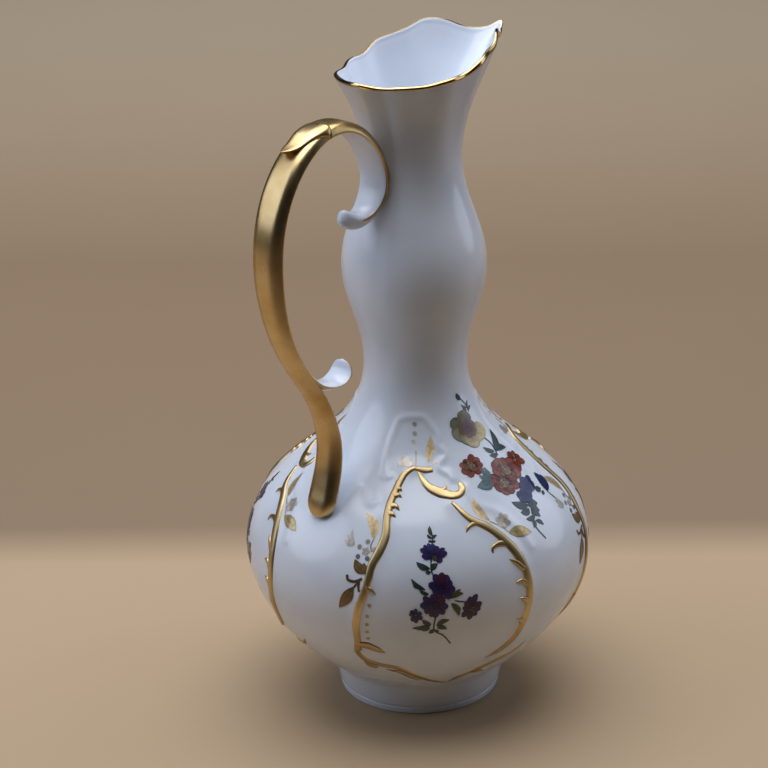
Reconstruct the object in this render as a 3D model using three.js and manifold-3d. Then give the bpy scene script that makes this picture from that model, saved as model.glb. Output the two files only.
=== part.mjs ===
import * as THREE from 'three';
import { mergeVertices } from 'three/addons/utils/BufferGeometryUtils.js';
import createManifold from 'manifold-3d';

const wasm = await createManifold();
wasm.setup();

// Porcelain jug in millimetres: +Z up, spout towards +X, handle towards -X.
// Radii are from the jug's axis and heights from the floor.

// Wall and seats
const wall = 3.0;
const lipWall = 1.8;
const floorThickness = 4.0;
const seatGap = 0.3;

// Foot ring
const footRadius = 29.2;
const footHeight = 12.5;
const footInnerRadius = 25.4;
const footCollarRadius = 31.5;
const grooveHeight = 3.5;
const grooveDepth = 0.6;

// Belly
const bellyRadius = 62.2;
const bellyHeight = 57;
const bellyFlareOut = 18.6;
const bellyFlareUp = 12.4;
const bellySideDrop = 13.5;
const shoulderRise = 33.6;
const shoulderDrop = 33.9;

// Neck: waist, bulge, throat and mouth
const waistRadius = 18.4;
const waistHeight = 127.6;
const bulgeRadius = 25.5;
const bulgeHeight = 162.8;
const throatRadius = 17.1;
const throatHeight = 202;
const rimRadius = 25.6;
const rimHeight = 235.5;
const lipHeight = 1.2;

// How far the profile keeps upright at the waist, bulge, throat and rim, as shares of each rise
const waistHold = 0.43;
const bulgeHoldBelow = 0.38;
const bulgeHoldAbove = 0.37;
const throatHoldBelow = 0.42;
const throatHoldAbove = 0.4;
const rimLean = 0.35;
const rimHold = 0.25;

// Mouth rim: degrees from the spout, then how far it stands out from and above a plain round mouth
const rimCourse = [
  [0, 21.4, 3.7], [6, 17.2, 2.7], [12, 13.4, 3.7], [18, 10, 5.9], [26, 6.7, 7.1], [34, 4.6, 6.7],
  [44, 3.3, 4.5], [56, 1.5, 3.3], [70, 0.1, 1.4], [84, -1.2, -1.1], [100, -1.4, -2.3], [118, -2, -3.3],
  [136, -0.4, -3.7], [156, 1, -3.9], [180, 2.4, -3.5],
];
const fluteCount = 10;
const fluteDepth = 0.42;
const outPower = 1.7;
const risePower = 2;

// Handle strap: a long scroll with a curl at each end, flat outside with rounded shoulders
const strapWidthTop = 13;
const strapWidthLow = 10.4;
const strapEdge = 1.6;
const strapCrown = 2.2;
const strapInside = 0.8;
const crownPower = 6.5;
const sectionPower = 0.7;
const upperTipShare = 0.1;
const lowerTipShare = 0.03;
const narrowStart = 0.62;
const narrowEnd = 0.88;
const leastFullness = 0.12;
const scrollSeatDrop = 4.5;
const scrollBite = 0.75;
const crestRise = 21.5;

// Handle root
const rootWidthTop = 9.8;
const rootWidthLow = 12.4;
const rootBody = 1.2;
const rootTopTipShare = 0.02;
const rootLowTipShare = 0.1;
const rootSeatRise = 28;
const rootJointOut = 31;
const rootJointDrop = 63.1;

// Handle leaf, from its head to its tip as shares of the strap's length
const leafHead = 0.331;
const leafTip = 0.416;
const leafLiftStart = 0.383;
const leafHalfWidth = 6.8;
const leafThickness = 1.3;
const leafUnder = 1;
const leafTipLift = 2.4;
const leafHeadShare = 0.12;
const leafHeadStart = 0.1;
const leafTaper = 0.98;

// Relief scrolls of the panels
const panelAngles = [231, 324.5, 50, 136.5];
const reliefWidth = 3.2;
const reliefHeight = 1.3;

// Fineness of the solids
const turnSteps = 60;
const strapSteps = 54;
const rootSteps = 20;
const leafSteps = 14;
const reliefSteps = 12;
const rimSamples = 400;
const sectionSides = 12;

// Colours of the two finishes
const porcelainColour = 0xe6e9ef;
const giltColour = 0xa8823f;

// Welded copy with positions only
function weld(geometry) {
  const bare = geometry.clone();
  bare.deleteAttribute('normal');
  bare.deleteAttribute('uv');
  return mergeVertices(bare, 1e-4);
}

function toManifold(geometry) {
  const bare = weld(geometry);
  const mesh = new wasm.Mesh({
    numProp: 3,
    vertProperties: new Float32Array(bare.attributes.position.array),
    triVerts: new Uint32Array(bare.index.array),
  });
  return new wasm.Manifold(mesh);
}

function fromManifold(solid) {
  const mesh = solid.getMesh();
  const geometry = new THREE.BufferGeometry();
  geometry.setAttribute('position', new THREE.BufferAttribute(new Float32Array(mesh.vertProperties), 3));
  geometry.setIndex(new THREE.BufferAttribute(new Uint32Array(mesh.triVerts), 1));
  return geometry;
}

// Body less every cutter
function cutAway(body, cutters) {
  let solid = toManifold(body);
  for (const cutter of cutters) {
    solid = solid.subtract(toManifold(cutter));
  }
  return fromManifold(solid);
}

// Solid of revolution about Z from a run of radius and height pairs
function revolve(outline) {
  const points = outline.map(([radius, height]) => new THREE.Vector2(radius, height));
  const solid = new THREE.LatheGeometry(points, turnSteps);
  solid.rotateX(Math.PI / 2);
  return weld(solid);
}

// Closed solid through a row of rings that have the same number of points
function loft(rings) {
  const count = rings[0].length;
  const vertices = rings.flat();
  const faces = [];
  for (let ring = 0; ring < rings.length - 1; ring += 1) {
    for (let side = 0; side < count; side += 1) {
      const here = ring * count + side;
      const next = ring * count + ((side + 1) % count);
      faces.push(here, next, next + count, here, next + count, here + count);
    }
  }
  const lastRing = (rings.length - 1) * count;
  for (let side = 1; side < count - 1; side += 1) {
    faces.push(0, side + 1, side);
    faces.push(lastRing, lastRing + side, lastRing + side + 1);
  }
  const geometry = new THREE.BufferGeometry().setFromPoints(vertices);
  geometry.setIndex(faces);
  return geometry;
}

function bezier(corners) {
  return new THREE.CubicBezierCurve(...corners.map(([radius, height]) => new THREE.Vector2(radius, height)));
}

// Outer profile of the belly and the neck, from the foot to the rim
const bellyLow = bezier([
  [footCollarRadius, footHeight],
  [footCollarRadius + bellyFlareOut, footHeight + bellyFlareUp],
  [bellyRadius, bellyHeight - bellySideDrop],
  [bellyRadius, bellyHeight],
]);
const bellyShoulder = bezier([
  [bellyRadius, bellyHeight],
  [bellyRadius, bellyHeight + shoulderRise],
  [waistRadius, waistHeight - shoulderDrop],
  [waistRadius, waistHeight],
]);
const neckLow = bezier([
  [waistRadius, waistHeight],
  [waistRadius, waistHeight + waistHold * (bulgeHeight - waistHeight)],
  [bulgeRadius, bulgeHeight - bulgeHoldBelow * (bulgeHeight - waistHeight)],
  [bulgeRadius, bulgeHeight],
]);
const neckHigh = bezier([
  [bulgeRadius, bulgeHeight],
  [bulgeRadius, bulgeHeight + bulgeHoldAbove * (throatHeight - bulgeHeight)],
  [throatRadius, throatHeight - throatHoldBelow * (throatHeight - bulgeHeight)],
  [throatRadius, throatHeight],
]);
const lipSeat = rimHeight - lipHeight;
const mouthFlare = bezier([
  [throatRadius, throatHeight],
  [throatRadius, throatHeight + throatHoldAbove * (lipSeat - throatHeight)],
  [rimRadius - rimLean * (rimRadius - throatRadius), lipSeat - rimHold * (lipSeat - throatHeight)],
  [rimRadius, lipSeat - seatGap],
]);

// Points along a profile, moved square to it by an offset (negative is inwards)
function along(curve, steps, offsetStart, offsetEnd) {
  const outline = [];
  for (let step = 0; step <= steps; step += 1) {
    const share = step / steps;
    const offset = offsetStart + (offsetEnd - offsetStart) * share;
    const point = curve.getPoint(share);
    const tangent = curve.getTangent(share);
    outline.push([point.x + tangent.y * offset, point.y - tangent.x * offset]);
  }
  return outline;
}

// Radius of a rising profile at a height, found by halving
function radiusAt(curve, height) {
  let low = 0;
  let high = 1;
  for (let turn = 0; turn < 40; turn += 1) {
    const middle = (low + high) / 2;
    if (curve.getPoint(middle).y < height) {
      low = middle;
    } else {
      high = middle;
    }
  }
  return curve.getPoint((low + high) / 2).x;
}

function bellyRadiusAt(height) {
  return radiusAt(height < bellyHeight ? bellyLow : bellyShoulder, height);
}

// Smooth line through the rim's course, carried on past both ends as a mirror image
const rimBefore = rimCourse.slice(1, 3).map(([angle, out, rise]) => [-angle, out, rise]);
const rimAfter = rimCourse.slice(-3, -1).map(([angle, out, rise]) => [360 - angle, out, rise]);
const rimStations = [...rimBefore.reverse(), ...rimCourse, ...rimAfter.reverse()];
const rimLine = new THREE.CatmullRomCurve3(
  rimStations.map(([angle, out, rise]) => new THREE.Vector3(angle, out, rise)),
  false,
  'centripetal',
).getPoints(rimSamples);

// How far the rim stands out and up at an angle from the spout
function rimAt(degrees) {
  const index = rimLine.findIndex((point) => point.x >= degrees);
  const before = rimLine[index - 1];
  const after = rimLine[index];
  const share = (degrees - before.x) / (after.x - before.x);
  return [THREE.MathUtils.lerp(before.y, after.y, share), THREE.MathUtils.lerp(before.z, after.z, share)];
}

// Mouth: the rim's reach and rise fade out down to the throat
function spreadMouth(geometry) {
  const place = geometry.attributes.position;
  for (let index = 0; index < place.count; index += 1) {
    const x = place.getX(index);
    const y = place.getY(index);
    const z = place.getZ(index);
    const share = THREE.MathUtils.clamp((z - throatHeight) / (rimHeight - throatHeight), 0, 1);
    if (share > 0) {
      const angle = Math.atan2(y, x);
      const [out, rise] = rimAt(Math.abs(THREE.MathUtils.radToDeg(angle)));
      const flute = fluteDepth * Math.cos(fluteCount * angle);
      const grown = 1 + ((out + flute) * share ** outPower) / Math.hypot(x, y);
      place.setXYZ(index, x * grown, y * grown, z + (rise + flute / 2) * share ** risePower);
    }
  }
  return geometry;
}

// Belly: closed floor, one wall, and a flat joint at the waist
function makeBelly() {
  const floorTop = footHeight + floorThickness;
  const outside = [...along(bellyLow, 7, 0, 0), ...along(bellyShoulder, 12, 0, 0).slice(1)];
  const inside = [...along(bellyLow, 5, -wall, -wall), ...along(bellyShoulder, 8, -wall, -wall).slice(1)];
  const cavity = inside.filter(([, height]) => height > floorTop + 1).reverse();
  const floorRadius = cavity[cavity.length - 1][0] - floorThickness;
  return revolve([[0, footHeight], ...outside, ...cavity, [floorRadius, floorTop], [0, floorTop]]);
}

// Neck: stands on the belly's flat joint and opens into the fluted mouth
function makeNeck() {
  const outside = [
    ...along(neckLow, 6, 0, 0),
    ...along(neckHigh, 6, 0, 0).slice(1),
    ...along(mouthFlare, 6, 0, 0).slice(1),
  ];
  const inside = [
    ...along(neckLow, 4, -wall, -wall),
    ...along(neckHigh, 4, -wall, -wall).slice(1),
    ...along(mouthFlare, 5, -wall, -lipWall).slice(1, -1),
    [rimRadius - lipWall, lipSeat - seatGap],
  ].reverse();
  return spreadMouth(revolve([...outside, ...inside, outside[0]]));
}

// Rounded gilt lip that follows the mouth
function makeLip() {
  const outline = [];
  const steps = 6;
  for (let step = 0; step <= steps; step += 1) {
    const turn = (Math.PI * step) / steps;
    const radius = rimRadius - lipWall / 2 + (lipWall / 2) * Math.cos(turn);
    outline.push([radius, lipSeat + lipHeight * Math.sin(turn)]);
  }
  return spreadMouth(revolve([...outline, outline[0]]));
}

// Foot ring with a shallow groove above its flat base
function makeFoot() {
  const taper = (footCollarRadius - footRadius) / footHeight;
  const grooveRadius = footRadius + taper * grooveHeight;
  const outline = [
    [footInnerRadius, 0],
    [footRadius - grooveDepth, 0],
    [footRadius, grooveDepth],
    [grooveRadius, grooveHeight - grooveDepth],
    [grooveRadius - grooveDepth, grooveHeight],
    [grooveRadius, grooveHeight + grooveDepth],
    [footRadius + taper * footHeight * 0.6, footHeight * 0.8],
    [footCollarRadius, footHeight],
    [footInnerRadius + wall / 2, footHeight],
    [footInnerRadius, 0],
  ];
  return revolve(outline);
}

// Height of a strap's crown at a share of its half width
function crownAt(share) {
  return strapCrown * (1 - share ** crownPower);
}

// Ring of a strap with its width along Y; grow makes it larger all round
function strapRing(centre, outward, width, body, grow) {
  const ring = [];
  for (let side = 0; side < sectionSides; side += 1) {
    const turn = (2 * Math.PI * (side + 0.5)) / sectionSides;
    const across = Math.sign(Math.cos(turn)) * Math.abs(Math.cos(turn)) ** sectionPower;
    const edge = Math.sign(Math.sin(turn)) * Math.abs(Math.sin(turn)) ** sectionPower;
    const swell = turn < Math.PI ? crownAt(Math.abs(across)) : -strapInside * (1 - across ** 2);
    const height = ((strapEdge / 2) * edge + swell) * body + grow * edge;
    const point = centre.clone().addScaledVector(outward, height);
    point.y -= across * (width / 2 + grow);
    ring.push(point);
  }
  return ring;
}

// How full a strap is at a share of its length, with a rounded tip at each end
function tipFullness(share, startShare, endShare) {
  const start = Math.min(1, share / startShare);
  const end = Math.min(1, (1 - share) / endShare);
  return Math.max(leastFullness, Math.sqrt(1 - (1 - start) ** 2) * Math.sqrt(1 - (1 - end) ** 2));
}

function coursePath(course) {
  const points = course.map(([x, z]) => new THREE.Vector3(x, 0, z));
  return new THREE.CatmullRomCurve3(points, false, 'centripetal');
}

function outwardAt(path, share) {
  const tangent = path.getTangentAt(share);
  return new THREE.Vector3(tangent.z, 0, -tangent.x);
}

// Strap along a path; sizeAt gives its width and body at a share of the length
function makeStrap(path, steps, sizeAt, grow) {
  const rings = [];
  for (let step = 0; step <= steps; step += 1) {
    const share = step / steps;
    const [width, body] = sizeAt(share);
    rings.push(strapRing(path.getPointAt(share), outwardAt(path, share), width, body, grow));
  }
  return loft(rings);
}

// Course of the handle strap: distance out from its seat on the neck, and rise above that seat
const scrollSeatHeight = throatHeight - scrollSeatDrop;
const scrollSeatRadius = radiusAt(neckHigh, scrollSeatHeight);
const strapCourse = [
  [16.8, -7.7], [13.6, -10.3], [9.8, -11.6], [5.4, -10.3], [1.5, -5.9], [0, 0],
  [1.6, 6.7], [5.8, 13.7], [11.7, 18.9], [19.2, crestRise], [28.2, 20.5], [37.2, 14.9], [44.2, 6.3],
  [48.8, -4.2], [50.8, -16.5], [50, -30.7], [46.1, -45.3], [39.4, -57.4], [33.2, -63.9], [27.6, -66.7],
  [22, -67], [18.2, -64.5], [17.4, -60.2],
];
const strapSeatX = -(scrollSeatRadius + strapCrown + strapEdge / 2 - scrollBite);
const strapPath = coursePath(strapCourse.map(([out, rise]) => [strapSeatX - out, scrollSeatHeight + rise]));

function strapWidthAt(share) {
  const narrowed = THREE.MathUtils.smoothstep(share, narrowStart, narrowEnd);
  return THREE.MathUtils.lerp(strapWidthTop, strapWidthLow, narrowed);
}

function strapSize(share) {
  const fullness = tipFullness(share, upperTipShare, lowerTipShare);
  return [strapWidthAt(share) * fullness, Math.sqrt(fullness)];
}

function makeHandleStrap(grow) {
  return makeStrap(strapPath, strapSteps, strapSize, grow);
}

// Root: from the strap's lower curl down to its seat on the belly's shoulder
function makeHandleRoot() {
  const jointX = strapSeatX - rootJointOut;
  const jointHeight = scrollSeatHeight - rootJointDrop;
  const seatHeight = bellyHeight + rootSeatRise;
  const rootDepth = strapCrown + strapEdge;
  const endX = -bellyRadiusAt(seatHeight) - rootDepth / 2;
  const endHeight = seatHeight - rootDepth;
  const bend = [
    [0, -4.4], [0.116, -0.4], [0.297, 4.2], [0.471, 6.4], [0.637, 6], [0.807, 3.6], [1, endX - jointX],
  ];
  const course = bend.map(([share, out]) => {
    return [jointX + out, THREE.MathUtils.lerp(jointHeight, endHeight, share)];
  });
  const sizeAt = (share) => {
    const fullness = tipFullness(share, rootTopTipShare, rootLowTipShare);
    return [THREE.MathUtils.lerp(rootWidthTop, rootWidthLow, share) * fullness, rootBody * fullness];
  };
  return makeStrap(coursePath(course), rootSteps, sizeAt, 0);
}

// Leaf: a pointed tongue that follows the strap's crown and lifts off it at the tip
function makeHandleLeaf() {
  const rings = [];
  for (let step = 0; step <= leafSteps; step += 1) {
    const part = step / leafSteps;
    const share = THREE.MathUtils.lerp(leafHead, leafTip, part);
    const outward = outwardAt(strapPath, share);
    const headFullness = Math.sqrt(Math.min(1, part / leafHeadShare + leafHeadStart));
    const half = leafHalfWidth * headFullness * Math.sqrt(1 - leafTaper * part);
    const lifted = Math.max(0, (share - leafLiftStart) / (leafTip - leafLiftStart));
    const ring = [];
    for (let side = 0; side < sectionSides; side += 1) {
      const turn = (2 * Math.PI * (side + 0.5)) / sectionSides;
      const across = half * Math.cos(turn);
      const onStrap = Math.min(1, Math.abs(across) / (strapWidthAt(share) / 2));
      const depth = Math.sin(turn) * (turn < Math.PI ? leafThickness : leafUnder);
      const height = strapEdge / 2 + crownAt(onStrap) + depth + leafTipLift * lifted ** 2;
      const point = strapPath.getPointAt(share).addScaledVector(outward, height);
      point.y -= across;
      ring.push(point);
    }
    rings.push(ring);
  }
  return loft(rings);
}

// Place on the belly's outside at a turn in degrees and a height
function onBelly(turn, height) {
  const radius = bellyRadiusAt(height);
  const angle = THREE.MathUtils.degToRad(turn);
  return new THREE.Vector3(radius * Math.cos(angle), radius * Math.sin(angle), height);
}

function bellyNormal(turn, height) {
  const step = 0.2;
  const round = onBelly(turn + step, height).sub(onBelly(turn - step, height));
  const up = onBelly(turn, height + step).sub(onBelly(turn, height - step));
  return round.cross(up).normalize();
}

// Half-round relief along a course of turns and heights, tapered to both ends
function makeRelief(panelAngle, course, widest) {
  const path = new THREE.CatmullRomCurve3(
    course.map(([turn, share]) => new THREE.Vector3(panelAngle + turn, share * waistHeight, 0)),
    false,
    'centripetal',
  );
  const rings = [];
  for (let step = 0; step <= reliefSteps; step += 1) {
    const share = step / reliefSteps;
    const here = path.getPoint(share);
    const before = path.getPoint(Math.max(share - 0.01, 0));
    const after = path.getPoint(Math.min(share + 0.01, 1));
    const normal = bellyNormal(here.x, here.y);
    const tangent = onBelly(after.x, after.y).sub(onBelly(before.x, before.y)).normalize();
    const across = new THREE.Vector3().crossVectors(normal, tangent);
    const fullness = 0.3 + 0.7 * Math.sin(Math.PI * share) ** 0.5;
    const seat = onBelly(here.x, here.y).addScaledVector(normal, seatGap);
    const sides = 5;
    const ring = [];
    for (let side = 0; side <= sides; side += 1) {
      const turn = (Math.PI * side) / sides;
      const point = seat.clone();
      point.addScaledVector(across, (widest / 2) * fullness * Math.cos(turn));
      point.addScaledVector(normal, reliefHeight * fullness * Math.sin(turn));
      ring.push(point);
    }
    rings.push(ring);
  }
  return loft(rings);
}

// Courses of one panel's relief: degrees from the panel's angle, and share of the waist's height
const reliefCourses = {
  stem_left: [
    [-10.5, 0.776], [-17.4, 0.75], [-20.6, 0.705], [-20.5, 0.637], [-24.9, 0.545], [-28, 0.455],
    [-29.6, 0.361], [-29.6, 0.294],
  ],
  leaf_scroll: [[-5.5, 0.754], [-2.6, 0.732], [2.4, 0.716], [8.2, 0.712], [13, 0.719], [13.6, 0.738]],
  stem_right: [
    [7.4, 0.685], [13.7, 0.66], [20.8, 0.635], [26.4, 0.588], [29.4, 0.505], [29.3, 0.423], [27.9, 0.337],
    [24, 0.271], [15, 0.219],
  ],
  garland: [[-26.6, 0.263], [-16.1, 0.227], [-6.6, 0.176], [4.5, 0.146], [11, 0.188]],
};

function finish(name, geometry, colour, roughness, metalness) {
  const material = new THREE.MeshStandardMaterial({ color: colour, roughness, metalness });
  const mesh = new THREE.Mesh(geometry, material);
  mesh.name = name;
  return mesh;
}

function porcelain(name, geometry) {
  return finish(name, geometry, porcelainColour, 0.12, 0);
}

function gilt(name, geometry) {
  return finish(name, geometry, giltColour, 0.3, 1);
}

// Solids that the handle's seats are cut to
const neckSeat = revolve([
  [0, waistHeight],
  ...along(neckLow, 12, seatGap, seatGap),
  ...along(neckHigh, 12, seatGap, seatGap).slice(1),
  [throatRadius + seatGap, throatHeight + 20],
  [0, throatHeight + 20],
]);
const bellySeat = revolve([
  [0, bellyHeight],
  ...along(bellyShoulder, 24, seatGap, seatGap),
  [0, waistHeight],
]);
const strapSeat = makeHandleStrap(seatGap);

const jug = new THREE.Group();
jug.name = 'porcelain_jug';

const body = new THREE.Group();
body.name = 'vessel';
body.add(porcelain('foot_ring', makeFoot()));
body.add(porcelain('belly', makeBelly()));
body.add(porcelain('neck', makeNeck()));
body.add(gilt('gilt_lip', makeLip()));
jug.add(body);

const handle = new THREE.Group();
handle.name = 'handle';
handle.add(gilt('handle_strap', cutAway(makeHandleStrap(0), [neckSeat])));
handle.add(gilt('handle_root', cutAway(makeHandleRoot(), [strapSeat, bellySeat])));
handle.add(gilt('handle_leaf', cutAway(makeHandleLeaf(), [strapSeat])));
jug.add(handle);

const relief = new THREE.Group();
relief.name = 'relief';
panelAngles.forEach((panelAngle, index) => {
  for (const [name, course] of Object.entries(reliefCourses)) {
    relief.add(gilt(`${name}_${index + 1}`, makeRelief(panelAngle, course, reliefWidth)));
  }
});
jug.add(relief);

// The origin is the middle of the whole object's box, at the floor
const reach = new THREE.Box3().setFromObject(jug);
const middle = reach.getCenter(new THREE.Vector3());
jug.position.set(-middle.x, -middle.y, -reach.min.z);

export default jug;
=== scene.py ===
import bpy
import bmesh
import math
import numpy as np
from mathutils import Matrix, Vector


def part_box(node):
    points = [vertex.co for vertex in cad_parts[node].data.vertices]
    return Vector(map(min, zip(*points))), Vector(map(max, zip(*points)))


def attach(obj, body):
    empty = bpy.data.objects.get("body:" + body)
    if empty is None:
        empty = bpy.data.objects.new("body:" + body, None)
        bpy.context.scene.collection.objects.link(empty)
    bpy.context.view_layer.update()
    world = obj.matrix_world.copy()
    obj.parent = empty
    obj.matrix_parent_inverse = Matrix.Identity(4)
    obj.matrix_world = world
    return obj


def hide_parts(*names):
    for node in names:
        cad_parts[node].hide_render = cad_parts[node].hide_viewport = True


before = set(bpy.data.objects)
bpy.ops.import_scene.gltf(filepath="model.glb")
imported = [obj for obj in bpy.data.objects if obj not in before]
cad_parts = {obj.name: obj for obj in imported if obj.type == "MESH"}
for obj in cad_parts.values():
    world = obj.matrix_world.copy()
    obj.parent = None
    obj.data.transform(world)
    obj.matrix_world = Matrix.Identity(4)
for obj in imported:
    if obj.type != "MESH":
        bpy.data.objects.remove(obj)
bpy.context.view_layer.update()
scene = bpy.context.scene
scene.view_settings.view_transform = "Standard"

# All sizes below are millimetres about the jug's own axis, heights from the floor
mm = 0.001
footLow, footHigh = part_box("foot_ring")
axisPlace = np.array([(footLow.x + footHigh.x) / 2, (footLow.y + footHigh.y) / 2, 0.0])
dice = np.random.RandomState(7)


def toRow(points):
    return np.asarray(points, float) * mm + axisPlace


# small helpers for nodes and materials

def hexColour(code):
    channels = [int(code[i:i + 2], 16) / 255 for i in (0, 2, 4)]
    linear = [c / 12.92 if c <= 0.04045 else ((c + 0.055) / 1.055) ** 2.4 for c in channels]
    return (*linear, 1.0)


def addNode(tree, kind, settings=None, inputs=None):
    node = tree.nodes.new(kind)
    for key, value in (settings or {}).items():
        setattr(node, key, value)
    for key, value in (inputs or {}).items():
        if isinstance(value, bpy.types.NodeSocket):
            tree.links.new(value, node.inputs[key])
        else:
            node.inputs[key].default_value = value
    return node


def newMaterial(name):
    material = bpy.data.materials.new(name)
    material.use_nodes = True
    tree = material.node_tree
    shader = tree.nodes["Principled BSDF"]
    return material, tree, shader


def perMetre(sizeMm):
    return 1.0 / (sizeMm * mm)


def setRamp(node, stops):
    ramp = node.color_ramp
    while len(ramp.elements) < len(stops):
        ramp.elements.new(0.5)
    for element, (place, colour) in zip(ramp.elements, stops):
        element.position = place
        element.color = colour


# soft clouds of tint and faint waves of the face, shared by the glaze and the gold
def addClouds(tree, shader, place, look):
    cloud = addNode(tree, "ShaderNodeTexNoise", None,
                    {"Vector": place.outputs["Object"], "Scale": perMetre(look["tintMm"]),
                     "Detail": look["tintDetail"]})
    tint = addNode(tree, "ShaderNodeValToRGB", None, {"Fac": cloud.outputs["Fac"]})
    setRamp(tint, [(stop, hexColour(code)) for stop, code in zip(look["tintStops"], look["tints"])])
    wave = addNode(tree, "ShaderNodeTexNoise", None,
                   {"Vector": place.outputs["Object"], "Scale": perMetre(look["waveMm"]),
                    "Detail": look["waveDetail"]})
    bump = addNode(tree, "ShaderNodeBump", None,
                   {"Height": wave.outputs["Fac"], "Strength": look["waveStrength"],
                    "Distance": look["waveDepthMm"] * mm})
    tree.links.new(tint.outputs["Color"], shader.inputs["Base Color"])
    tree.links.new(bump.outputs["Normal"], shader.inputs["Normal"])


# hard-paste porcelain under clear glaze: cool white, sharp reflections, very faint waves from the casting
porcelainLook = {"tints": ("DAE3F0", "E9EFF8"), "tintMm": 34, "tintDetail": 3.0, "tintStops": (0.32, 0.68),
                 "waveMm": 16, "waveDetail": 1.0, "waveDepthMm": 0.05, "waveStrength": 0.35,
                 "roughness": 0.15, "ior": 1.52}


def makePorcelain():
    material, tree, shader = newMaterial("glazedPorcelain")
    addClouds(tree, shader, addNode(tree, "ShaderNodeTexCoord"), porcelainLook)
    shader.inputs["Roughness"].default_value = porcelainLook["roughness"]
    shader.inputs["IOR"].default_value = porcelainLook["ior"]
    return material


# gold fired on the glaze: warm metal, brushed on, so thin streaks and a slightly uneven polish
# burnished on the handle, left paler and duller on the raised scrolls, rubbed bright along the rim
# (real brush streaks are near 0.3 mm, drawn coarser here so that they show)
goldLook = {"tintMm": 14, "tintDetail": 4.0, "tintStops": (0.28, 0.7),
            "waveMm": 16, "waveDetail": 2.0, "waveDepthMm": 0.04, "waveStrength": 0.25,
            "streakMm": 2.2, "streakSquash": 0.12, "streakRange": (0.3, 0.7)}
goldFinishes = {
    "burnishedGold": {"tints": ("B8975E", "DCC290"), "polish": (0.27, 0.31)},
    "dullGold": {"tints": ("B0956A", "D6BF8C"), "polish": (0.36, 0.42)},
    "brightGold": {"tints": ("C8A66C", "E6CE9C"), "polish": (0.14, 0.2)},
}


def makeGold(name):
    look = {**goldLook, **goldFinishes[name]}
    material, tree, shader = newMaterial(name)
    place = addNode(tree, "ShaderNodeTexCoord")
    addClouds(tree, shader, place, look)
    stretch = addNode(tree, "ShaderNodeMapping", None,
                      {"Vector": place.outputs["Object"], "Scale": (1.0, 1.0, look["streakSquash"])})
    streak = addNode(tree, "ShaderNodeTexNoise", None,
                     {"Vector": stretch.outputs["Vector"], "Scale": perMetre(look["streakMm"]),
                      "Detail": 2.0})
    polish = addNode(tree, "ShaderNodeMapRange", None,
                     {"Value": streak.outputs["Fac"],
                      "From Min": look["streakRange"][0], "From Max": look["streakRange"][1],
                      "To Min": look["polish"][0], "To Max": look["polish"][1]})
    tree.links.new(polish.outputs["Result"], shader.inputs["Roughness"])
    shader.inputs["Metallic"].default_value = 1.0
    return material


# enamel colours and gold painted on the glaze: flat and a little less glossy than the glaze around them,
# each point carries its own tint, broken up by the brush's mottling
mottleForm = {"from": (0.3, 0.72), "to": (0.72, 1.22)}  # how far the mottling darkens and lightens a tint


def makePaint(name, mottleMm, metallic, roughness):
    material, tree, shader = newMaterial(name)
    place = addNode(tree, "ShaderNodeTexCoord")
    tint = addNode(tree, "ShaderNodeAttribute", {"attribute_name": "tint"})
    mottle = addNode(tree, "ShaderNodeTexNoise", None,
                     {"Vector": place.outputs["Object"], "Scale": perMetre(mottleMm), "Detail": 4.0})
    depth = addNode(tree, "ShaderNodeMapRange", None,
                    {"Value": mottle.outputs["Fac"],
                     "From Min": mottleForm["from"][0], "From Max": mottleForm["from"][1],
                     "To Min": mottleForm["to"][0], "To Max": mottleForm["to"][1]})
    mix = addNode(tree, "ShaderNodeVectorMath", {"operation": "SCALE"},
                  {"Vector": tint.outputs["Color"], "Scale": depth.outputs["Result"]})
    tree.links.new(mix.outputs["Vector"], shader.inputs["Base Color"])
    shader.inputs["Metallic"].default_value = metallic
    shader.inputs["Roughness"].default_value = roughness
    return material


porcelain = makePorcelain()
gold = makeGold("burnishedGold")
reliefGold = makeGold("dullGold")
rimGold = makeGold("brightGold")
enamel = makePaint("flowerEnamel", 0.8, 0.0, 0.22)
goldPaint = makePaint("paintedGold", 1.2, 0.55, 0.38)
print("materials ready")


# lines and meshes

def between(t, startTime, start, endTime, end):
    return ((endTime - t) * start + (t - startTime) * end) / (endTime - startTime)


# a curve through all its points that doesn't loop between them, cut into even steps
def smoothLine(points, count):
    knots = np.asarray(points, float)
    knots = np.vstack([2 * knots[0] - knots[1], knots, 2 * knots[-1] - knots[-2]])
    dense = []
    for i in range(1, len(knots) - 2):
        p = knots[i - 1:i + 3]
        times = np.concatenate([[0], np.cumsum(np.linalg.norm(np.diff(p, axis=0), axis=1) ** 0.5)])
        t = np.linspace(times[1], times[2], 24, endpoint=False)[:, None]
        a = [between(t, times[k], p[k], times[k + 1], p[k + 1]) for k in range(3)]
        b = [between(t, times[k], a[k], times[k + 2], a[k + 1]) for k in range(2)]
        dense.append(between(t, times[1], b[0], times[2], b[1]))
    dense = np.vstack(dense + [knots[-2:-1]])
    run = np.concatenate([[0], np.cumsum(np.linalg.norm(np.diff(dense, axis=0), axis=1))])
    even = np.linspace(0, run[-1], count)
    return np.column_stack([np.interp(even, run, dense[:, k]) for k in range(dense.shape[1])])


def bezierLine(corners, count, start=0.0):
    p = np.asarray(corners, float)
    t = np.linspace(start, 1, count)[:, None]
    return (1 - t) ** 3 * p[0] + 3 * (1 - t) ** 2 * t * p[1] + 3 * (1 - t) * t ** 2 * p[2] + t ** 3 * p[3]


def gridFaces(rows, columns, wrap, first=0):
    faces = []
    for row in range(rows - 1):
        for column in range(columns if wrap else columns - 1):
            here = first + row * columns + column
            side = first + row * columns + (column + 1) % columns
            faces.append((here, side, side + columns, here + columns))
    return faces


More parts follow.
